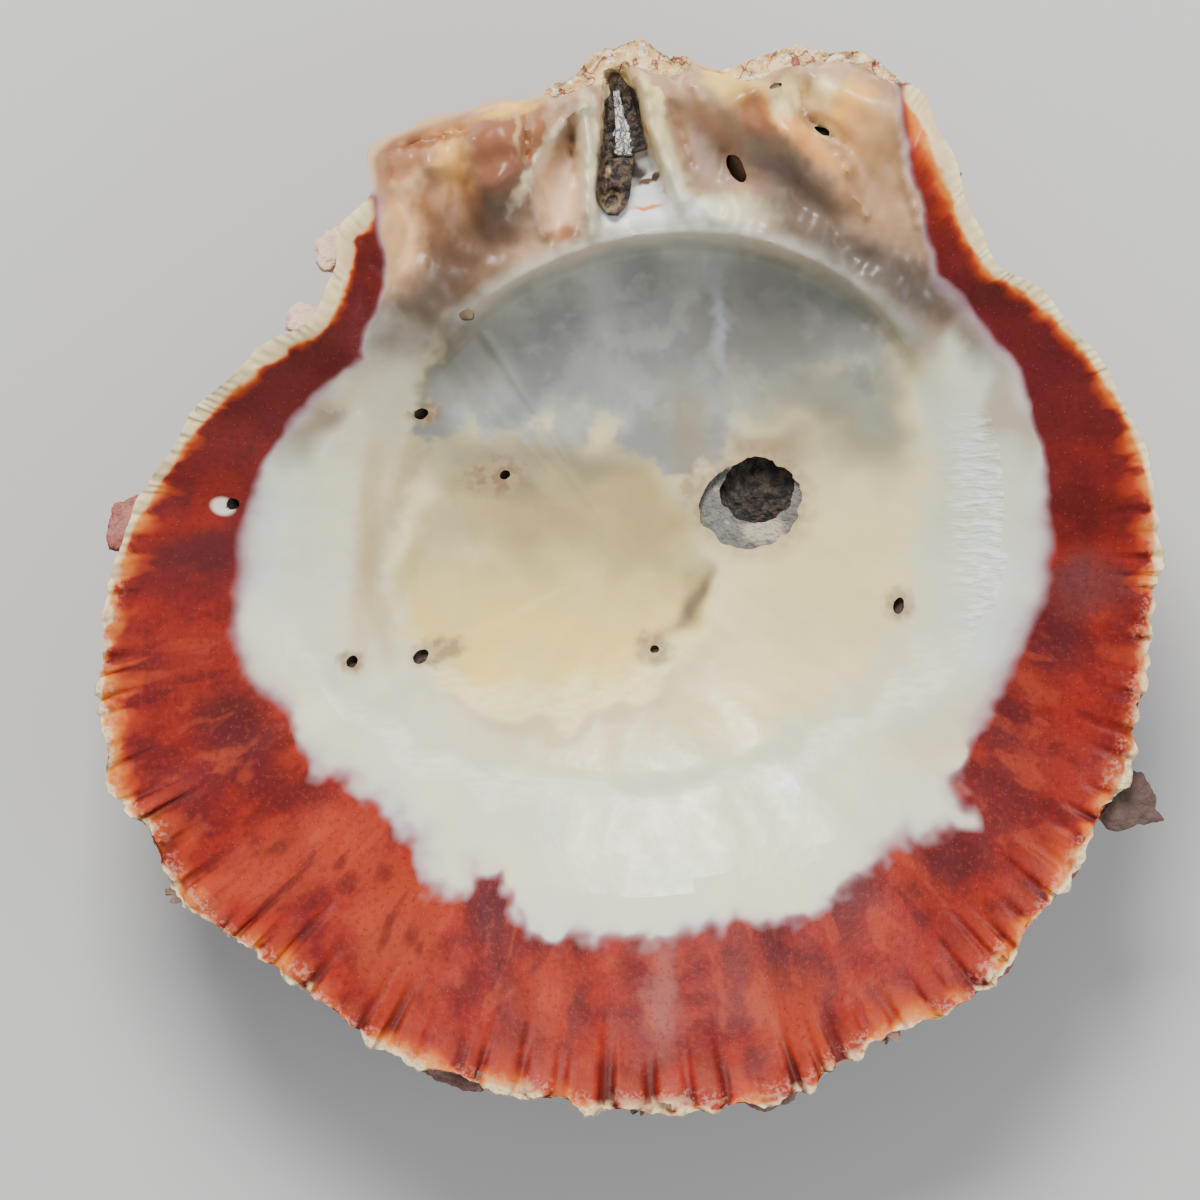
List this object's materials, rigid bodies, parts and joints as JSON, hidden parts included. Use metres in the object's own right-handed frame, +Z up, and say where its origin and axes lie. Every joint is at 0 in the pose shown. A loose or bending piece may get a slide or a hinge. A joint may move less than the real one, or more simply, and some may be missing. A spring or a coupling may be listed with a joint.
{
  "type": "spiny oyster shell",
  "caption": "Single spiny oyster valve lying on its back: a ribbed, spiny dome outside, a glossy bowl with a toothed hinge inside, and dried ligament.",
  "frame": {"origin": "middle of the shell's box, on the surface that it rests on", "axes": "+Z up out of the bowl, +Y towards the hinge, +X towards the wider ear"},
  "size_m": [0.1516, 0.1528, 0.041],
  "materials": {
    "shell": "smooth and glossy inside, cream with a dark red margin; dull purplish red and rough outside",
    "ligament": "dry, cracked and brown-black, with chalky flakes"
  },
  "bodies": {
    "root": {"valve": "shell", "ligament": "ligament"}
  },
  "joints": []
}
